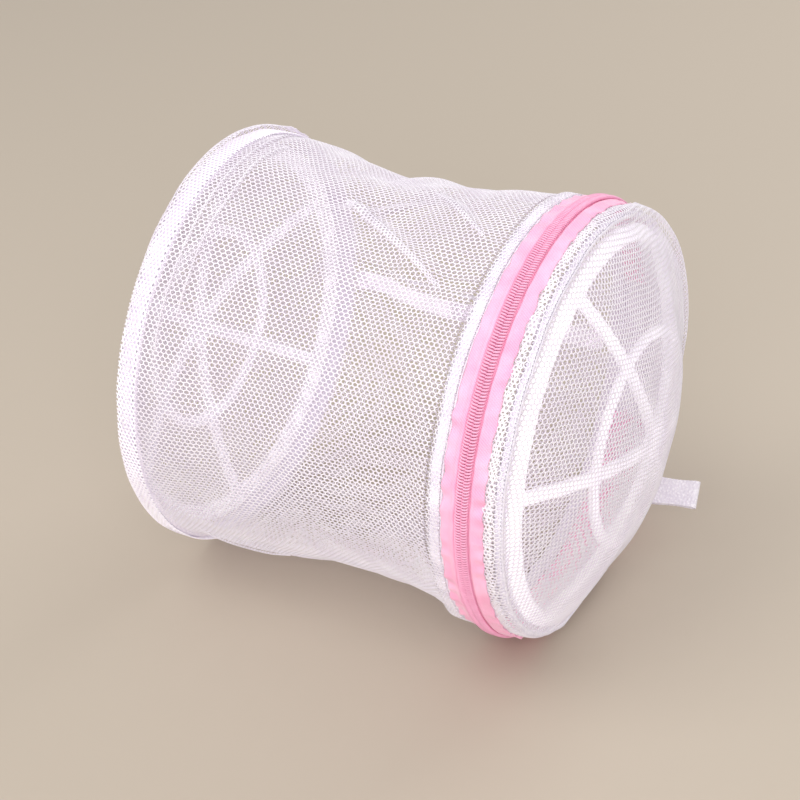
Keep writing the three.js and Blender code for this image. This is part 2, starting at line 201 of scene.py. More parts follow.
def dome_x(r, rim_r, end):
    """Station of a cage's middle surface, a spherical cap; end is -1 at the base, 1 at the lid."""
    rim_x, rise = (LID_RIM_X, LID_RISE) if end > 0 else (BASE_RIM_X, BASE_RISE)
    sphere = (rim_r**2 + rise**2) / (2 * rise)
    return end * (rim_x + np.sqrt(sphere**2 - np.minimum(r, rim_r) ** 2) - (sphere - rise))


def dome_lean(r, rim_r, end):
    """How far the cap leans out of the rim's plane at a radius."""
    rise = LID_RISE if end > 0 else BASE_RISE
    return np.arcsin(np.minimum(2 * r * rise / (rim_r**2 + rise**2), 1))


# ---- meshes -----------------------------------------------------------------------------------
def new_object(name, points, faces, smooth=True):
    mesh = bpy.data.meshes.new(name)
    mesh.from_pydata([tuple(p) for p in points], [], [tuple(f) for f in faces])
    mesh.update()
    mesh.polygons.foreach_set("use_smooth", np.full(len(mesh.polygons), smooth))
    obj = bpy.data.objects.new(name, mesh)
    bpy.context.scene.collection.objects.link(obj)
    return obj


def fast_object(name, points, quads, triangles):
    """The same from arrays, for the nets."""
    mesh = bpy.data.meshes.new(name)
    sizes = np.concatenate([np.full(len(quads), 4), np.full(len(triangles), 3)])
    corners = np.concatenate([quads.ravel(), triangles.ravel()]).astype(np.int32)
    starts = np.concatenate([[0], np.cumsum(sizes)[:-1]]).astype(np.int32)
    mesh.vertices.add(len(points))
    mesh.vertices.foreach_set("co", points.astype(np.float32).ravel())
    mesh.loops.add(len(corners))
    mesh.loops.foreach_set("vertex_index", corners)
    mesh.polygons.add(len(sizes))
    mesh.polygons.foreach_set("loop_start", starts)
    mesh.update(calc_edges=True)
    mesh.validate()
    mesh.polygons.foreach_set("use_smooth", np.ones(len(mesh.polygons), bool))
    obj = bpy.data.objects.new(name, mesh)
    bpy.context.scene.collection.objects.link(obj)
    return obj


def grid_faces(rows, columns, close_rows=False, close_columns=False):
    i, j = np.meshgrid(
        np.arange(rows if close_rows else rows - 1),
        np.arange(columns if close_columns else columns - 1),
        indexing="ij",
    )
    i, j = i.ravel(), j.ravel()
    i2, j2 = (i + 1) % rows, (j + 1) % columns
    return np.stack([i * columns + j, i2 * columns + j, i2 * columns + j2, i * columns + j2], -1)


def applied(obj):
    """Bakes an object's modifiers into its mesh."""
    graph = bpy.context.evaluated_depsgraph_get()
    mesh = bpy.data.meshes.new_from_object(obj.evaluated_get(graph))
    obj.modifiers.clear()
    obj.data = mesh
    return obj


def thicken(obj, thick):
    """Gives a sheet its thickness, half to each side."""
    solid = obj.modifiers.new("thickness", "SOLIDIFY")
    solid.thickness, solid.offset = thick, 0
    return applied(obj)


def finish_piece(obj, body, slot, material, *nodes):
    obj.data.materials.clear()
    obj.data.materials.append(material)
    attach(obj, body)
    if nodes:
        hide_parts(*nodes)
    return obj


def swept(path, profile, up, closed=False):
    """Points and faces of a profile carried along a path; up is the profile's second axis."""
    path = np.asarray(path, float)
    if closed:
        ahead = np.roll(path, -1, 0) - np.roll(path, 1, 0)
    else:
        ahead = np.gradient(path, axis=0)
    ahead /= np.linalg.norm(ahead, axis=1, keepdims=True)
    up = np.asarray(up, float) * np.ones_like(path)
    side = np.cross(up, ahead)
    side /= np.linalg.norm(side, axis=1, keepdims=True)
    up = np.cross(ahead, side)
    profile = np.asarray(profile, float)
    points = (
        path[:, None]
        + side[:, None] * profile[None, :, :1]
        + up[:, None] * profile[None, :, 1:]
    )
    n, m = len(path), len(profile)
    faces = [tuple(f) for f in grid_faces(n, m, closed, True)]
    if not closed:
        faces += [tuple(range(m)), tuple((n - 1) * m + k for k in reversed(range(m)))]
    return points.reshape(-1, 3), faces


def rounded(width, height, corner, steps=4):
    """A rounded rectangle about the origin, as a profile."""
    out = []
    for k, (sx, sy) in enumerate([(1, 1), (-1, 1), (-1, -1), (1, -1)]):
        for t in np.linspace(0, np.pi / 2, steps + 1):
            a = t + k * np.pi / 2
            out.append(
                (
                    sx * (width / 2 - corner) + corner * math.cos(a),
                    sy * (height / 2 - corner) + corner * math.sin(a),
                )
            )
    return out


def joined(name, parts, smooth=True):
    points, faces, count = [], [], 0
    for p, f in parts:
        points += [tuple(q) for q in p]
        faces += [tuple(int(k) + count for k in face) for face in f]
        count += len(p)
    return new_object(name, points, faces, smooth)


# ---- net --------------------------------------------------------------------------------------
def net(columns, rows, hole=NET_HOLE, closed=True):
    """Corner points (along, round) of a knitted net's cells with the faces of its strands.

    Each cell is a hexagon and has six corners of its own, round its hole; strands are the quads
    between two holes and knots the triangles between three.
    """
    i, j = np.meshgrid(np.arange(columns), np.arange(rows), indexing="ij")
    centre = np.stack([(i + 0.5 * (j % 2)) * NET_ALONG, j * NET_ROUND], -1)
    tall, short, half = NET_ROUND * 2 / 3, NET_ROUND / 3, NET_ALONG / 2
    corners = np.array(
        [(0, tall), (-half, short), (-half, -short), (0, -tall), (half, -short), (half, short)]
    )
    points = centre[:, :, None] + hole * corners
    first = (i * rows + j) * 6

    def cell(di, dj):
        ni, nj = i + di, j + dj
        there = (ni >= 0) & (ni < columns) & (closed | (nj < rows))
        return there, (ni * rows + nj % rows) * 6

    odd = j % 2
    ok_r, right = cell(1, 0)
    ok_ur, upper_right = cell(odd, 1)
    ok_ul, upper_left = cell(odd - 1, 1)
    quads, triangles = [], []

    def add(into, there, *ids):
        face = np.stack(ids, -1).reshape(-1, len(ids))
        into.append(face[there.ravel()])

    add(quads, ok_r, first + 4, right + 2, right + 1, first + 5)
    add(quads, ok_ur, first + 5, upper_right + 3, upper_right + 2, first)
    add(quads, ok_ul, first, upper_left + 4, upper_left + 3, first + 1)
    add(triangles, ok_ur & ok_ul, first, upper_right + 2, upper_left + 4)
    add(triangles, ok_r & ok_ur, first + 5, right + 1, upper_right + 3)
    return points.reshape(-1, 2), np.concatenate(quads), np.concatenate(triangles)


def only(points, quads, triangles, keep=None):
    """The part of a net whose corners are kept, without loose points."""
    if keep is not None:
        quads, triangles = (f[keep[f].all(1)] for f in (quads, triangles))
    used = np.zeros(len(points), bool)
    used[quads.ravel()] = True
    used[triangles.ravel()] = True
    number = np.cumsum(used) - 1
    return points[used], number[quads], number[triangles]


def round_net(width, hole=NET_HOLE):
    """A net that closes on itself round the drum, its number of columns and its length round."""
    columns = int(width / NET_ALONG)
    rows = 2 * round(math.pi * ROW_R / NET_ROUND)
    return net(columns, rows, hole), columns, rows


# ---- shapes of the cloth ----------------------------------------------------------------------
# Creases in the side: station and angle in degrees at each end, width, depth.
CREASES = [
    ((-21, 97, 32, 125), 3.6, 1.6),
    ((5, 85, 38, 108), 3.2, 1.5),
    ((-22, 104, 4, 95), 3.0, 1.1),
    ((6, 130, 38, 150), 4.5, 0.8),
    ((-58, 176, -20, 168), 6.0, 0.9),
    ((10, 200, 40, 188), 5.0, 0.9),
    ((-60, 222, -25, 236), 6.0, 1.0),
    ((-52, 20, -10, 38), 5.5, 1.2),
    ((2, -30, 38, -12), 5.0, 1.2),
    ((-50, 300, -12, 318), 6.0, 1.1),
    ((0, 52, 34, 40), 4.5, 1.0),
    ((-55, 132, -30, 138), 4.5, 0.7),
]
SWELLS = [(0.8 * MM, 46 * MM, 3), (0.4 * MM, 19 * MM, 4)]      # height, length, seed
CREASE_END = 4 * MM          # a crease fades out over this length


def crease(x, angle, ends, width, depth):
    """A ridge with a hollow beside it, along a line over the side."""
    x0, a0, x1, a1 = ends
    a0, a1 = math.radians(a0), math.radians(a1)
    along = np.array([(x1 - x0) * MM, (a1 - a0) * WALL_R])
    length = np.hypot(*along)
    along /= length
    dx = x - x0 * MM
    da = ((angle - a0 + np.pi) % (2 * np.pi) - np.pi) * WALL_R
    t = dx * along[0] + da * along[1]
    d = (dx * along[1] - da * along[0]) / (width * MM)
    share = np.clip(t / length, 0, 1)
    fade = np.exp(-(((t - share * length) / CREASE_END) ** 2)) * np.sin(np.pi * (0.12 + 0.76 * share))
    return depth * MM * fade * (np.exp(-(d**2)) - 0.75 * np.exp(-((d - 1.3) ** 2)))


def wall_radius(x, angle):
    """The side net's radius: drawn in at the waist, slack underneath, with soft creases."""
    top = np.interp(x, WALL_STATIONS, WALL_TOP)
    under = np.interp(x, WALL_STATIONS, WALL_UNDER)
    r = top + (under - top) * (0.5 - 0.5 * np.sin(angle))
    free = np.clip((x + 66 * MM) / (12 * MM), 0, 1) * np.clip((44 * MM - x) / (10 * MM), 0, 1)
    loose = sum(h * waves(x, angle * WAVE_R, length, seed) for h, length, seed in SWELLS)
    loose = loose + sum(crease(x, angle, *c) for c in CREASES)
    return r + free * loose


# ---- materials --------------------------------------------------------------------------------
# Painted glow: emission strengths that stand in for light thin nylon would pass on from behind, for
# the net, a lapped seam, the cages, bands and tape.
NET_GLOW, LAP_GLOW, CAGE_GLOW, BINDING_GLOW, TAPE_GLOW = 0.03, 0.28, 0.32, 0.09, 0.1


def srgb(r, g, b):
    def lin(c):
        c /= 255
        return c / 12.92 if c <= 0.04045 else ((c + 0.055) / 1.055) ** 2.4

    return (lin(r), lin(g), lin(b), 1)


def material(name):
    mat = bpy.data.materials.new(name)
    mat.use_nodes = True
    nodes, links = mat.node_tree.nodes, mat.node_tree.links
    return mat, nodes, links, nodes["Principled BSDF"]


def position(nodes):
    """The piece's own coordinates, in metres."""
    return nodes.new("ShaderNodeTexCoord").outputs["Object"]


def mixed(nodes, links, factor, a, b):
    mix = nodes.new("ShaderNodeMix")
    mix.data_type = "RGBA"
    links.new(factor, mix.inputs["Factor"])
    for value, socket in ((a, mix.inputs["A"]), (b, mix.inputs["B"])):
        if isinstance(value, tuple):
            socket.default_value = value
        else:
            links.new(value, socket)
    return mix.outputs["Result"]


def noise(nodes, links, vector, scale, detail=3.0):
    tex = nodes.new("ShaderNodeTexNoise")
    tex.inputs["Scale"].default_value = scale
    tex.inputs["Detail"].default_value = detail
    links.new(vector, tex.inputs["Vector"])
    return tex.outputs["Fac"]


def ramp(nodes, links, value, low, high, a=0.0, b=1.0):
    clamp = nodes.new("ShaderNodeMapRange")
    clamp.inputs["From Min"].default_value = low
    clamp.inputs["From Max"].default_value = high
    clamp.inputs["To Min"].default_value = a
    clamp.inputs["To Max"].default_value = b
    links.new(value, clamp.inputs["Value"])
    return clamp.outputs["Result"]


def bump(nodes, links, bsdf, height, strength, distance):
    node = nodes.new("ShaderNodeBump")
    node.inputs["Strength"].default_value = strength
    node.inputs["Distance"].default_value = distance
    links.new(height, node.inputs["Height"])
    links.new(node.outputs["Normal"], bsdf.inputs["Normal"])


def net_material(name, glow):
    mat, nodes, links, bsdf = material(name)
    vec = position(nodes)
    tint = ramp(nodes, links, noise(nodes, links, vec, 90, 2), 0.35, 0.65)
    colour = mixed(nodes, links, tint, srgb(240, 232, 242), srgb(247, 241, 248))
    links.new(colour, bsdf.inputs["Base Color"])
    bsdf.inputs["Roughness"].default_value = 0.62
    # Painted glow: a faint emission that stands in for light the strands would pass on from behind.
    bsdf.inputs["Emission Color"].default_value = srgb(246, 240, 249)
    bsdf.inputs["Emission Strength"].default_value = glow
    bsdf.inputs["Sheen Weight"].default_value = 0.25
    bsdf.inputs["Sheen Roughness"].default_value = 0.4
    bump(nodes, links, bsdf, noise(nodes, links, vec, 9000, 2), 0.25, 0.0001)
    return mat


def knit_material(name, pitch, dark, light, glow=0.0):
    """Dense knitted fabric: rows of small stitches as bump, with painted shade in the hollows between
    them.
    """
    mat, nodes, links, bsdf = material(name)
    # Painted glow: emission, set by glow, that stands in for light the knit would pass on from behind.
    bsdf.inputs["Emission Color"].default_value = srgb(*light)
    bsdf.inputs["Emission Strength"].default_value = glow
    vec = position(nodes)
    cells = nodes.new("ShaderNodeTexVoronoi")
    cells.inputs["Scale"].default_value = 1 / pitch
    links.new(vec, cells.inputs["Vector"])
    height = ramp(nodes, links, cells.outputs["Distance"], 0.0, 0.6, 1.0, 0.0)
    worn = noise(nodes, links, vec, 160, 3)
    # Painted shade: the hollows between stitches take the dark colour and the stitch tops the light
    # one, from the same height as the bump.
    shade = ramp(nodes, links, height, 0.1, 0.7)
    colour = mixed(nodes, links, shade, srgb(*dark), srgb(*light))
    soft = mixed(nodes, links, ramp(nodes, links, worn, 0.4, 0.7, 0, 0.35), colour, srgb(*light))
    links.new(soft, bsdf.inputs["Base Color"])
    bsdf.inputs["Roughness"].default_value = 0.85
    bsdf.inputs["Sheen Weight"].default_value = 0.3
    bump(nodes, links, bsdf, height, 0.6, 0.0002)
    return mat


def plastic_material():
    mat, nodes, links, bsdf = material("cage_plastic")
    vec = position(nodes)
    flow = noise(nodes, links, vec, 60, 4)
    colour = mixed(
        nodes, links, ramp(nodes, links, flow, 0.3, 0.7), srgb(246, 240, 249), srgb(252, 248, 253)
    )
    links.new(colour, bsdf.inputs["Base Color"])
    rough = ramp(nodes, links, noise(nodes, links, vec, 240, 3), 0.3, 0.7, 0.26, 0.36)
    links.new(rough, bsdf.inputs["Roughness"])
    # Painted glow: emission that stands in for light the thin white plastic would pass on from behind,
    # brightening the cages under the net.
    bsdf.inputs["Emission Color"].default_value = srgb(244, 243, 250)
    bsdf.inputs["Emission Strength"].default_value = CAGE_GLOW
    bump(nodes, links, bsdf, noise(nodes, links, vec, 700, 3), 0.06, 0.0003)
    return mat


def tape_material():
    """Woven zip tape: a fine twill, its raised lines painted paler as a painted highlight, over an
    uneven tone.
    """
    mat, nodes, links, bsdf = material("zip_tape_pink")
    vec = position(nodes)
    wave = nodes.new("ShaderNodeTexWave")
    wave.wave_type, wave.bands_direction = "BANDS", "DIAGONAL"
    wave.inputs["Scale"].default_value = 520
    wave.inputs["Distortion"].default_value = 0.6
    links.new(vec, wave.inputs["Vector"])
    large = noise(nodes, links, vec, 120, 3)
    colour = mixed(
        nodes, links, ramp(nodes, links, large, 0.35, 0.68), srgb(242, 160, 196), srgb(253, 188, 217)
    )
    # Painted highlight: the twill's raised lines, where the bump is high, are mixed towards a paler
    # pink.
    twill_painted_highlight = mixed(
        nodes, links, ramp(nodes, links, wave.outputs["Fac"], 0, 1, 0, 0.3), colour,
        srgb(255, 210, 231),
    )
    links.new(twill_painted_highlight, bsdf.inputs["Base Color"])
    # Painted glow: emission that stands in for light the thin tape would pass on from behind.
    bsdf.inputs["Emission Color"].default_value = srgb(252, 150, 192)
    bsdf.inputs["Emission Strength"].default_value = TAPE_GLOW
    bsdf.inputs["Roughness"].default_value = 0.78
    bsdf.inputs["Sheen Weight"].default_value = 0.35
    bump(nodes, links, bsdf, wave.outputs["Fac"], 0.35, 0.00012)
    return mat


def coil_material():
    mat, nodes, links, bsdf = material("zip_coil_pink")
    vec = position(nodes)
    colour = mixed(
        nodes, links, noise(nodes, links, vec, 300, 2), srgb(241, 160, 196), srgb(252, 188, 216)
    )
    links.new(colour, bsdf.inputs["Base Color"])
    bsdf.inputs["Roughness"].default_value = 0.36
    bump(nodes, links, bsdf, noise(nodes, links, vec, 2500, 2), 0.1, 0.0001)
    return mat


def metal_material():
    mat, nodes, links, bsdf = material("zip_metal_pink")
    vec = position(nodes)
    colour = mixed(
        nodes, links, noise(nodes, links, vec, 250, 3), srgb(238, 150, 182), srgb(247, 172, 200)
    )
    links.new(colour, bsdf.inputs["Base Color"])
    bsdf.inputs["Metallic"].default_value = 0.25
    bsdf.inputs["Coat Weight"].default_value = 0.6
    bsdf.inputs["Coat Roughness"].default_value = 0.15
    rough = ramp(nodes, links, noise(nodes, links, vec, 900, 3), 0.3, 0.7, 0.25, 0.42)
    links.new(rough, bsdf.inputs["Roughness"])
    bump(nodes, links, bsdf, noise(nodes, links, vec, 1200, 3), 0.08, 0.0002)
    return mat


def floor_material():
    mat, _, _, bsdf = material("floor_pale")
    bsdf.inputs["Base Color"].default_value = srgb(190, 177, 161)
    bsdf.inputs["Roughness"].default_value = 0.6
    return mat


# ---- pieces: nets -----------------------------------------------------------------------------
def side_net(mat):
    """The drum's side in panels, each a third of the way round."""
    x0, x1 = SIDE_X
    (flat, quads, triangles), columns, rows = round_net(x1 - x0)
    along = x0 + flat[:, 0] + 0.35 * MM * waves(flat[:, 0], flat[:, 1], 38 * MM, 11)
    angle = flat[:, 1] / (rows * NET_ROUND) * 2 * np.pi
    angle = angle + 0.006 * waves(flat[:, 0], 0 * flat[:, 1], 50 * MM, 12)
    points = on_drum(along, wall_radius(along, angle), angle)
    row = np.repeat(np.tile(np.arange(rows), columns), 6)
    for k in range(SIDE_PANELS):
        inside = [f[row[f[:, 0]] * SIDE_PANELS // rows == k] for f in (quads, triangles)]
        obj = fast_object(f"side_net_{'abc'[k]}", *only(points, *inside))
        thicken(obj, NET_THICK)
        finish_piece(obj, "drum", "net", mat, "side_mesh")
        shut_with_base(obj)


def shut_with_base(obj):
    """Gives the piece a mesh of its own."""
    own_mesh(obj)


def net_strip(along, round_, width, lift, hole, phase=0.0, narrowing=0.0):
    """A strip of net laid along a line on the side: lists of stations and angles of its middle."""
    run = np.concatenate([[0], np.cumsum(np.hypot(np.diff(along), np.diff(round_) * WALL_R))])
    length = run[-1]
    columns, rows = int((length - phase) / NET_ALONG) - 1, max(2, round(width / NET_ROUND))
    flat, quads, triangles = net(columns, rows, hole, closed=False)
    t = np.clip(flat[:, 0] + NET_ALONG / 2 + phase, 0, length)
    v = (flat[:, 1] - flat[:, 1].mean()) * (1 - narrowing * t / length)
    dx, da = np.gradient(along, run), np.gradient(round_, run)
    x = np.interp(t, run, along) - v * np.interp(t, run, da) * WALL_R
    a = np.interp(t, run, round_) + v * np.interp(t, run, dx) / WALL_R
    ends = np.clip(np.minimum(t, length - t) / (8 * MM), 0.15, 1)
    r = wall_radius(x, a) + lift * ends * (1 - 0.8 * (2 * v / width) ** 2)
    return on_drum(x, r, a), quads, triangles


def strips_object(name, strips):
    points, quads, triangles, count = [], [], [], 0
    for p, q, t in strips:
        points.append(p)
        quads.append(q + count)
        triangles.append(t + count)
        count += len(p)
    obj = fast_object(name, *(np.concatenate(v) for v in (points, quads, triangles)))
    return thicken(obj, NET_THICK)


def side_folds(mat):
    """Pleats where the side net lies double, from being folded flat."""
    strips = []
    for line, width in PLEATS:
        stations, degrees = np.array(line, float).T
        corner = np.arange(len(line))
        t = np.linspace(0, len(line) - 1, 40)
        x, a = np.interp(t, corner, stations * MM), np.interp(t, corner, np.radians(degrees))
        for phase, lift in PLEAT_LAYERS:
            strips.append(net_strip(x, a, width * MM, lift, PLEAT_HOLE, phase, PLEAT_NARROWING))
    obj = strips_object("side_folds", strips)
    finish_piece(obj, "drum", "net", mat)
    shut_with_base(obj)


def slack(angle, far):
    """How far loose net stands off a rim: at the far side of the lid and on top of the base."""
    middle, spread, height = LID_SLACK if far else BASE_SLACK
    off = (angle - math.radians(middle) + np.pi) % (2 * np.pi) - np.pi
    return height * np.exp(-((off / math.radians(spread)) ** 2))


def between_spokes(r, angle, rim_r, end):
    """Share of the full dip at a place on a cap: none over a spoke or a ring."""
    first = math.radians(LID_SPOKE_DEG if end > 0 else BASE_SPOKE_DEG)
    inner = np.clip((r - HUB_R) / (MID_RING_R - HUB_R), 0, 1)
    outer = np.clip((r - MID_RING_R) / (rim_r - RIM_WIDTH - MID_RING_R), 0, 1)
    across = 0.5 * np.sin(inner * np.pi) ** 2 + np.sin(outer * np.pi) ** 2
    return (0.5 - 0.5 * np.cos(SPOKES * (angle - first))) * across


def cap_net(name, rim_r, end, face, mat, body, node):
    """A disc of net pulled over one face of a cage; the outer one turns down over the seam."""
    outer = face > 0
    corner, gap, skirt, degrees = OVER_CAGE if outer else UNDER_CAGE
    flat_r = rim_r - gap
    edge = CAP_EASE * flat_r
    reach = edge + corner * np.pi / 2 + skirt
    columns = int(2 * reach / NET_ALONG) + 2
    rows = 2 * (int(2 * reach / NET_ROUND) // 2 + 1)
    flat, quads, triangles = net(columns, rows, NET_HOLE if outer else LINING_HOLE, closed=False)
    flat = flat - flat.mean(0)
    u, v = (flat + 0.3 * MM * np.stack([waves(*flat.T, 30 * MM, s) for s in (21, 22)], -1)).T
    turn = math.radians(degrees) + (0.4 if end > 0 else 0)
    y, z = u * math.cos(turn) - v * math.sin(turn), u * math.sin(turn) + v * math.cos(turn)
    rho, angle = np.hypot(y, z), np.arctan2(z, y)
    lean = np.clip((rho - edge) / corner, 0, np.pi / 2)
    down = np.maximum(rho - edge - corner * np.pi / 2, 0)
    r = np.minimum(rho / CAP_EASE, flat_r)
    height = face * (CAGE_THICK / 2 + 0.5 * MM - CAP_SAG * between_spokes(r, angle, rim_r, end))
    height = height + 0.12 * MM * waves(y, z, 22 * MM, 31) - corner * (1 - np.cos(lean)) - down
    out = r + corner * np.sin(lean)
    out = out + 0.35 * MM * ring_waves(angle, 12, 44, 33) * np.clip(down / skirt, 0, 1)
    if outer:
        bulge = slack(angle, end > 0) * np.sin(np.clip(rho / reach, 0, 1) ** 9 * np.pi / 2)
        height = height + 0.7 * bulge
        out = out + bulge + (CAGE_THICK / 2 + 0.4 * MM) * np.sin(lean)
    points = on_drum(dome_x(r, rim_r, end) + end * height, out, angle)
    obj = fast_object(name, *only(points, quads, triangles, rho < reach))
    if end * face < 0:
        obj.data.flip_normals()
    thicken(obj, NET_THICK)
    finish_piece(obj, body, "net", mat, node)


def ring_net(name, line, mat, body, slot, *nodes, seed, hole=NET_HOLE, held_by=()):
    """A narrow strip of net right round the drum; the line gives its stations and radii."""
    stations, radii = np.array(line).T * MM
    width = stations[-1] - stations[0]
    (flat, quads, triangles), columns, rows = round_net(width + 2 * NET_ALONG, hole)
    x = stations[0] + flat[:, 0] * width / ((columns + 0.5) * NET_ALONG)
    angle = flat[:, 1] / (rows * NET_ROUND) * 2 * np.pi
    r = np.interp(x, stations, radii) + 0.15 * MM * ring_waves(angle, 6, 30, seed)
    obj = fast_object(name, *only(on_drum(x, r, angle), quads, triangles))
    thicken(obj, NET_THICK)
    finish_piece(obj, body, slot, mat, *nodes)


# ---- pieces: cages ----------------------------------------------------------------------------
def on_dome(r, angle, rim_r, end):
    """Points of a cage's middle surface, before it settles."""
    return np.stack([dome_x(r, rim_r, end), r * np.cos(angle), AXIS_Z + r * np.sin(angle)], -1)


def off_dome(r, angle, rim_r, end):
    """Outward directions there."""
    lean = dome_lean(r, rim_r, end)
    out = np.sin(lean)
    return np.stack([end * np.cos(lean), out * np.cos(angle), out * np.sin(angle)], -1)


def cage_hub(rim_r, end, angles):
    """A button with a chamfered edge: radii and heights of its half section, turned."""
    half = CAGE_THICK * HUB_STOUTER
    rings = []
    for r, share in HUB_SECTION:
        full = np.full_like(angles, r)
        there, out = on_dome(full, angles, rim_r, end), off_dome(full, angles, rim_r, end)
        rings.append(there + out * share * half)
    n = len(angles)
    faces = [tuple(f) for f in grid_faces(len(rings), n, False, True)]
    faces += [tuple(range(n)), tuple((len(rings) - 1) * n + k for k in reversed(range(n)))]
    return np.concatenate(rings), faces


def cage(name, rim_r, end, first_deg, mat, body, node):
    """Rim, ring, spokes and hub swept one by one and melted into one moulding."""
    def bar(r, angle, width, thick, closed=False):
        profile = rounded(width, thick, thick * BAR_ROUNDING)
        return swept(on_dome(r, angle, rim_r, end), profile, off_dome(r, angle, rim_r, end), closed)

    angles = np.linspace(0, 2 * np.pi, 120, endpoint=False)
    rim, ring = (np.full_like(angles, r) for r in (rim_r - RIM_WIDTH / 2, MID_RING_R))
    parts = [
        bar(rim, angles, RIM_WIDTH, CAGE_THICK * RIM_STOUTER, True),
        bar(ring, angles, MID_RING_WIDTH, CAGE_THICK, True),
        cage_hub(rim_r, end, angles),
    ]
    r = np.linspace(1 * MM, rim_r - 2 * MM, 30)
    for k in range(SPOKES):
        spoke = np.full_like(r, math.radians(first_deg + 360 * k / SPOKES))
        parts.append(bar(r, spoke, SPOKE_WIDTH, CAGE_THICK))
    obj = joined(name, parts)
    melt = obj.modifiers.new("melt", "REMESH")
    melt.mode, melt.voxel_size, melt.use_smooth_shade = "VOXEL", 0.5 * MM, True
    soften = obj.modifiers.new("soften", "SMOOTH")
    soften.factor, soften.iterations = 0.5, 4
    settle_mesh(applied(obj))
    finish_piece(shaded(obj), body, "cage_plastic", mat, node)


def settle_mesh(obj):
    """Flattens a finished piece where the bag lies."""
    co = np.zeros(len(obj.data.vertices) * 3)
    obj.data.vertices.foreach_get("co", co)
    co = co.reshape(-1, 3)
    y, z = co[:, 1], co[:, 2] - AXIS_Z
    scale = settle(co[:, 0], np.arctan2(z, y))
    co[:, 1], co[:, 2] = y * scale, AXIS_Z + z * scale
    obj.data.vertices.foreach_set("co", co.ravel())
    obj.data.update()


# ---- pieces: sewn bands -----------------------------------------------------------------------
def band(name, edges, mat, body, slot, *nodes, seed, lump=0.25):
    """A soft knitted band round the drum: rounded edges, uneven, with chevron stitches."""
    x0, x1, r0, r1 = edges
    width, thick = abs(x1 - x0), r1 - r0
    profile = np.array(rounded(width, thick, min(thick * 0.45, width * 0.3), 3))
    edge = np.linspace(0.4, -0.4, 7)[:, None] * width
    top = np.hstack([edge, np.full_like(edge, thick / 2)])
    profile = np.vstack([profile[:4], top, profile[4:]])
    angle = np.linspace(0, 2 * np.pi, 4 * BAND_STITCHES, endpoint=False)[:, None]
    swell = 0.5 * lump * MM * ring_waves(angle, 9, 48, seed)
    shift = 0.6 * lump * MM * ring_waves(angle, 3, 20, seed + 1)
    chevron = np.abs(((profile[:, 0] / CHEVRON) % 2) - 1)
    stitch = STITCH_HEIGHT * np.sin(angle * BAND_STITCHES + 2.2 * chevron)
    x = (x0 + x1) / 2 + profile[:, 0] + shift
    r = (r0 + r1) / 2 + profile[:, 1] + (swell + stitch) * (profile[:, 1] > 0)
    faces = grid_faces(len(angle), len(profile), True, True)
    obj = new_object(name, on_drum(x, r, angle).reshape(-1, 3), faces)
    finish_piece(obj, body, slot, mat, *nodes)


# ---- pieces: zip ------------------------------------------------------------------------------
def tape_surface(angle, share, outer_edge, coil_edge, seed):
    """Station and radius over a zip tape; share is 0 at its outer edge and 1 under the coil."""
    wander = 0.28 * MM * ring_waves(angle, 20, 60, seed)
    pucker = 0.42 * MM * ring_waves(angle, 30, 90, seed + 1) * np.clip(1 - share / 0.7, 0, 1)
    x = outer_edge + (coil_edge - outer_edge) * share + wander * (1 - share)
    welt = 0.5 * MM * np.exp(-(((share - 0.56) / 0.1) ** 2))
    groove = -0.45 * MM * np.exp(-(((share - 0.7) / 0.05) ** 2))
    r = TAPE_R + 0.25 * MM * share + pucker + welt + groove + 0.2 * MM * np.sin(np.pi * share)
    return x, r


def zip_tape(name, edges, mat, body, node, seed):
    around, across = 1100, 22
    angle = np.linspace(ZIP_START, ZIP_END, around)[:, None]
    x, r = tape_surface(angle, np.linspace(0, 1, across)[None], *edges, seed)
    obj = new_object(name, on_drum(x, r, angle).reshape(-1, 3), grid_faces(around, across))
    thicken(obj, TAPE_THICK)
    finish_piece(obj, body, "zip_tape", mat, node)


def zip_coil(name, side, mat, body, node):
    """One row of coil: a flattened helix of nylon, side -1 on the drum and +1 on the lid."""
    first, last = ZIP_START + COIL_INSET, ZIP_END - COIL_INSET
    per_turn = 12
    turn = np.arange(int((last - first) * COIL_R / COIL_PITCH) * per_turn) / per_turn
    phase = 2 * np.pi * turn
    angle = first + (turn + (0.25 if side > 0 else 0)) * COIL_PITCH / COIL_R
    x = ZIP_X + side * (1.05 * MM + 0.98 * MM * np.cos(phase))
    r = COIL_R + 0.05 * MM + 0.48 * MM * np.sin(phase)
    path = on_drum(x, r, angle + 0.22 * COIL_PITCH * np.sin(phase) / COIL_R)
    out = np.stack([0 * angle, np.cos(angle), np.sin(angle)], -1)
    wire = [(COIL_WIRE * math.cos(a), COIL_WIRE * math.sin(a)) for a in np.arange(6) * np.pi / 3]
    obj = joined(name, [swept(path, wire, np.cross(out, (1, 0, 0)))])
    finish_piece(obj, body, "zip_coil", mat, node)


def standing_matrix(deg):
    """Places a piece drawn with X along the axis, Y round the drum and Z outward."""
    return Matrix.Translation((0, 0, AXIS_Z)) @ Matrix.Rotation(math.radians(deg - 90), 4, "X")


def bevelled(obj, width):
    edge = obj.modifiers.new("edges", "BEVEL")
    edge.width, edge.segments, edge.limit_method = width, 3, "ANGLE"
    edge.angle_limit = math.radians(35)
    edge.harden_normals = False
    return applied(obj)


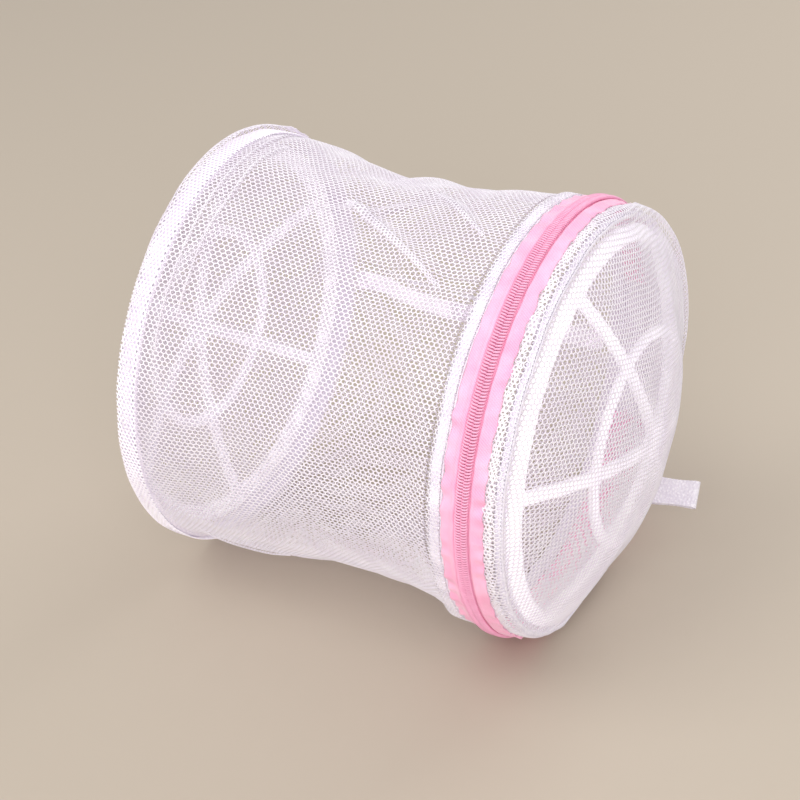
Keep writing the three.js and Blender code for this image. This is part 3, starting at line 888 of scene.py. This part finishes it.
def extruded(outline, holes, thick, name):
    """A flat plate from outlines in millimetres, as an object in its own XY plane."""
    curve = bpy.data.curves.new(name, "CURVE")
    curve.dimensions, curve.fill_mode = "2D", "BOTH"
    curve.extrude = thick * MM / 2
    for loop in [outline, *holes]:
        spline = curve.splines.new("POLY")
        spline.points.add(len(loop) - 1)
        spline.use_cyclic_u = True
        for p, (x, y) in zip(spline.points, loop):
            p.co = (x * MM, y * MM, 0, 1)
    obj = bpy.data.objects.new(name, curve)
    bpy.context.scene.collection.objects.link(obj)
    graph = bpy.context.evaluated_depsgraph_get()
    mesh = bpy.data.meshes.new_from_object(obj.evaluated_get(graph))
    bpy.data.objects.remove(obj)
    made = bpy.data.objects.new(name, mesh)
    bpy.context.scene.collection.objects.link(made)
    bm = bmesh.new()
    bm.from_mesh(mesh)
    bmesh.ops.remove_doubles(bm, verts=bm.verts, dist=1e-6)
    bmesh.ops.dissolve_limit(bm, angle_limit=0.02, verts=bm.verts, edges=bm.edges)
    bm.to_mesh(mesh)
    bm.free()
    return made


def arc(cx, cy, r, a0, a1, steps):
    return [
        (cx + r * math.cos(a), cy + r * math.sin(a))
        for a in np.linspace(math.radians(a0), math.radians(a1), steps)
    ]


def merged(name, objects):
    """One object from several, by mesh."""
    bm = bmesh.new()
    for o in objects:
        o.data.transform(o.matrix_world)
        bm.from_mesh(o.data)
        bpy.data.objects.remove(o)
    mesh = bpy.data.meshes.new(name)
    bm.to_mesh(mesh)
    bm.free()
    obj = bpy.data.objects.new(name, mesh)
    bpy.context.scene.collection.objects.link(obj)
    return obj


def shaded(obj):
    obj.data.polygons.foreach_set("use_smooth", np.ones(len(obj.data.polygons), bool))
    obj.data.update()
    return obj


def zip_slider(mat):
    hw, hl = 4.3, 5.4
    plate = [(-hw, -hl + 2.2), (-hw + 0.9, -hl + 0.5), (-hw + 2.2, -hl), (hw - 2.2, -hl),
             (hw - 0.9, -hl + 0.5), (hw, -hl + 2.2), (hw * 0.93, 0.5), (hw, hl - 2.6),
             (hw - 0.8, hl - 0.8), (hw - 2.4, hl), (-hw + 2.4, hl), (-hw + 0.8, hl - 0.8),
             (-hw, hl - 2.6), (-hw * 0.93, 0.5)]
    top = bevelled(extruded(plate, [], 1.5, "plate"), 0.35 * MM)
    top.location = (ZIP_X, 0, SLIDER_R + 0.8 * MM)
    lip = bevelled(extruded([(-0.7, -3.4), (0.7, -3.4), (0.7, 3.4), (-0.7, 3.4)], [], 2.2, "lip"),
                   0.2 * MM)
    lip.location = (ZIP_X - 3.6 * MM, 0, SLIDER_R - 0.5 * MM)
    arch = [(-3.5, -0.5), (3.5, -0.5), (3.5, 1.0), (3.2, 2.4), (2.4, 3.2), (1.4, 3.6),
            (-1.4, 3.6), (-2.4, 3.2), (-3.2, 2.4), (-3.5, 1.0)]
    hole = arc(0, 1.6, 1.05, 0, 345, 24)
    bridge = bevelled(extruded(arch, [hole], 1.9, "bridge"), 0.25 * MM)
    bridge.matrix_world = Matrix.Translation((ZIP_X, 0, SLIDER_R + 1.6 * MM)) @ Matrix(
        ((0, 0, 1, 0), (1, 0, 0, 0), (0, 1, 0, 0), (0, 0, 0, 1))
    )
    bpy.context.view_layer.update()
    obj = merged("zip_slider_body", [top, lip, bridge])
    obj.data.transform(standing_matrix(SLIDER_DEG))
    finish_piece(shaded(obj), "slider", "zip_metal", mat, "zip_slider")


def zip_pull(mat):
    """A drop-shaped pull with a square eye and a finger hole."""
    outline = [(-2.4, 0.55), (-2.45, -4.9), (-1.9, -7.0), (-1.9, -10.5)]
    outline += arc(0, -18.4, 2.5, 165, 375, 22)
    outline += [(1.9, -10.5), (1.9, -7.0), (2.45, -4.9), (2.4, 0.55)]
    window = [(-1.4, -0.65), (-1.4, -4.3), (1.4, -4.3), (1.4, -0.65)]
    finger = arc(0, -18.2, 1.2, 0, 345, 24)
    obj = bevelled(extruded(outline, [window, finger], 1.15, "zip_pull_plate"), 0.28 * MM)
    r = SLIDER_R + 3.2 * MM
    at = math.radians(SLIDER_DEG)
    obj.data.transform(
        Matrix.Translation((ZIP_X, r * math.cos(at), AXIS_Z + r * math.sin(at)))
        @ Matrix.Rotation(math.pi / 2, 4, "X")
    )
    finish_piece(shaded(obj), "pull", "zip_metal", mat, "zip_pull")


def zip_stop(name, deg, mat, node):
    """A clamp of folded wire over the drum's row of coil."""
    parts = []
    for shift in (-0.55, 0.55):
        a = math.radians(deg) + shift * MM / COIL_R
        t = np.linspace(-0.15, np.pi + 0.15, 12)
        x = ZIP_X - 1.25 * MM + 1.15 * MM * np.cos(t)
        r = COIL_R - 0.4 * MM + 1.35 * MM * np.sin(t)
        path = on_drum(x, r, np.full_like(t, a))
        ring = rounded(1.0 * MM, 0.6 * MM, 0.25 * MM, 2)
        out = np.array([0, -math.sin(a), math.cos(a)])
        parts.append(swept(path, ring, np.cross(np.gradient(path, axis=0), out)))
    finish_piece(joined(name, parts), "drum", "zip_coil", mat, node)


def side_seam(mat):
    """Lengthwise seam in line with the hinge: the net's two edges lapped and stitched down."""
    x = np.linspace(*SIDE_X, 80)
    a = math.radians(SEAM_DEG) + 0.012 * np.sin(x / (11 * MM))
    laps = [net_strip(x, a, SEAM_WIDTH, lift, LAP_HOLE, phase) for phase, lift in LAP_LAYERS]
    obj = strips_object("side_seam_lap", laps)
    finish_piece(obj, "drum", "net", mat, "side_seam")
    shut_with_base(obj)


def hinge_patch(mat):
    """Bound edge of fabric that bridges the two ends of the zip."""
    around, across = 90, 24
    first, last = ZIP_END - 2 * np.pi - 0.02, ZIP_START + 0.02
    angle = np.linspace(first, last, around)[:, None]
    share = np.linspace(0, 1, across)[None]
    width = HINGE_X[1] - HINGE_X[0]
    x = HINGE_X[0] + share * width
    r = HINGE_R + 0.3 * MM * np.sin(22 * share) + 0.15 * MM * waves(x, angle * 74 * MM, 9 * MM, 51)
    obj = new_object("hinge_cloth", on_drum(x, r, angle).reshape(-1, 3), grid_faces(around, across))
    thicken(obj, 0.5 * MM)
    obj.data.materials.append(mat)
    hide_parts("hinge_patch")
    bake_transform(obj)


def tab_loop(mat):
    """Knitted tape folded into a short loop, its two ends caught in the lid's bound seam."""
    half, root, samples = 1.1 * MM, -3.2 * MM, 60
    straight = TAB_LENGTH - half
    leg = np.linspace(root, straight, samples)
    bend = np.linspace(0, np.pi, 13)[1:-1]
    length = np.concatenate([leg, straight + half * np.sin(bend), leg[::-1]])
    height = half * np.concatenate([np.ones(samples), np.cos(bend), -np.ones(samples)])
    face = np.sign(height)
    height = height * (1 - 0.35 * np.sin(np.clip(length / straight, 0, 1) * np.pi))
    height = height - 0.5 * MM * np.sin(length / TAB_LENGTH * 2.2)
    wale = np.linspace(-0.5, 0.5, 57)[:, None]
    chevron = np.abs((wale * 6) % 2 - 1)
    stitch = 0.16 * MM * face * np.sin(2 * np.pi * (length / (1.35 * MM)) + 3 * chevron)
    width = TAB_WIDTH * (1 + 0.03 * np.sin(length / (2.5 * MM)))
    points = np.stack([length + 0 * wale, wale * width, height + stitch], -1).reshape(-1, 3)
    obj = new_object("fabric_tab", points, grid_faces(len(wale), len(length)))
    thicken(obj, 0.6 * MM)
    skew = Matrix.Rotation(math.radians(TAB_SKEW), 4, "Z")
    at_root = Matrix.Translation((TAB_X, 0, TAB_R))
    obj.data.transform(standing_matrix(TAB_DEG) @ at_root @ skew)
    finish_piece(shaded(obj), "tab", "knit", mat, "tab_loop")


# ---- stage ------------------------------------------------------------------------------------
CAMERA_TURN, CAMERA_RISE = math.radians(28.2), math.radians(29.6)
CAMERA_AWAY = 0.637
CAMERA_SHIFT = (-54.3 * MM, 6.9 * MM)        # of the point it aims at: to the right, and up
LAMPS = [
    ("key", (-0.45, -0.6, 1.2), 0.8, 5.5),
    ("front", (0.45, -0.95, 0.55), 0.7, 6.5),
    ("back", (0.2, 1.0, 0.8), 0.6, 3.5),
]
WORLD_STRENGTH = 0.66


def camera():
    cam = bpy.data.objects.new("camera", bpy.data.cameras.new("camera"))
    bpy.context.scene.collection.objects.link(cam)
    level = math.cos(CAMERA_RISE)
    back = Vector((math.sin(CAMERA_TURN) * level, -math.cos(CAMERA_TURN) * level,
                   math.sin(CAMERA_RISE)))
    right = Vector((math.cos(CAMERA_TURN), math.sin(CAMERA_TURN), 0))
    aim = Vector((ZIP_X, 0, AXIS_Z + CAMERA_SHIFT[1])) + right * CAMERA_SHIFT[0]
    cam.location = aim + back * CAMERA_AWAY
    cam.rotation_mode = "QUATERNION"
    cam.rotation_quaternion = (-back).to_track_quat("-Z", "Y")
    cam.data.sensor_width, cam.data.lens = 36, 85.5
    cam.data.clip_start, cam.data.clip_end = 0.01, 20
    bpy.context.scene.camera = cam


def lamp(name, place, size, power):
    """A square soft box turned to the bag's middle."""
    light = bpy.data.lights.new(name, "AREA")
    light.size, light.energy = size, power
    obj = bpy.data.objects.new(name, light)
    bpy.context.scene.collection.objects.link(obj)
    obj.location = place
    obj.rotation_mode = "QUATERNION"
    obj.rotation_quaternion = (Vector((0, 0, 0.07)) - Vector(place)).to_track_quat("-Z", "Y")


def stage():
    bpy.ops.mesh.primitive_plane_add(size=60, location=(0, 0, 0))
    floor = bpy.context.object
    floor.name = "floor"
    floor.data.materials.append(floor_material())
    world = bpy.data.worlds.new("world")
    bpy.context.scene.world = world
    world.use_nodes = True
    background = world.node_tree.nodes["Background"]
    background.inputs["Color"].default_value = (1, 1, 1, 1)
    background.inputs["Strength"].default_value = WORLD_STRENGTH
    for each in LAMPS:
        lamp(*each)
    bpy.context.scene.view_settings.view_transform = "Standard"


# ---- build ------------------------------------------------------------------------------------
camera()
stage()

NET = net_material("net_white", NET_GLOW)
# lap_white: the net's material with a stronger painted glow, for the lapped seam and the base's rim
# cover.
LAP = net_material("lap_white", LAP_GLOW)
BINDING = knit_material("binding_white", 0.0011, (224, 216, 230), (245, 238, 247), BINDING_GLOW)
KNIT = knit_material("tab_knit", 0.0009, (228, 221, 232), (250, 245, 251))
PLASTIC = plastic_material()
TAPE = tape_material()
COIL = coil_material()
METAL = metal_material()

side_net(NET)
side_seam(LAP)
side_folds(NET)
cage(CAGES["base"], BASE_RIM_R, -1, BASE_SPOKE_DEG, PLASTIC, "base", "base_cage")
cage(CAGES["lid"], LID_RIM_R, 1, LID_SPOKE_DEG, PLASTIC, "lid", "lid_cage")
cap_net("base_net_over", BASE_RIM_R, -1, 1, NET, "base", "base_net_outer")
cap_net("base_net_under", BASE_RIM_R, -1, -1, NET, "base", "base_net_inner")
cap_net("lid_net_over", LID_RIM_R, 1, 1, NET, "lid", "lid_net_outer")
cap_net("lid_net_under", LID_RIM_R, 1, -1, NET, "lid", "lid_net_inner")
band("base_bound_seam", BASE_BIND, BINDING, "base", "binding", "base_binding", seed=61)
band("lid_bound_seam", LID_BIND, BINDING, "lid", "binding", "lid_binding", seed=63)
band("mouth_hem", HEM, BINDING, "drum", "net", "collar_hem", seed=65, lump=0.3)
ring_net("lid_skirt_net", SKIRT_LINE, NET, "lid", "net", "lid_skirt", seed=41, hole=DOUBLE_HOLE,
         held_by=("zip_tape_lid_side", "lid_bound_seam"))
ring_net("mouth_hem_cover", HEM_COVER, NET, "drum", "net", seed=45)
ring_net("base_rim_cover", RIM_COVER, LAP, "base", "binding", seed=47, hole=RIM_HOLE)
zip_tape("zip_tape_drum_side", TAPE_BODY, TAPE, "drum", "zip_tape_body", 71)
zip_tape("zip_tape_lid_side", TAPE_LID, TAPE, "lid", "zip_tape_lid", 75)
zip_coil("zip_coil_drum_side", -1, COIL, "drum", "zip_coil_body")
zip_coil("zip_coil_lid_side", 1, COIL, "lid", "zip_coil_lid")
zip_stop("zip_stop_at_close", CLOSED_STOP_DEG, METAL, "zip_stop_closed")
zip_stop("zip_stop_at_open", OPEN_STOP_DEG, METAL, "zip_stop_open")
hinge_patch(BINDING)
zip_slider(METAL)
zip_pull(METAL)
tab_loop(KNIT)
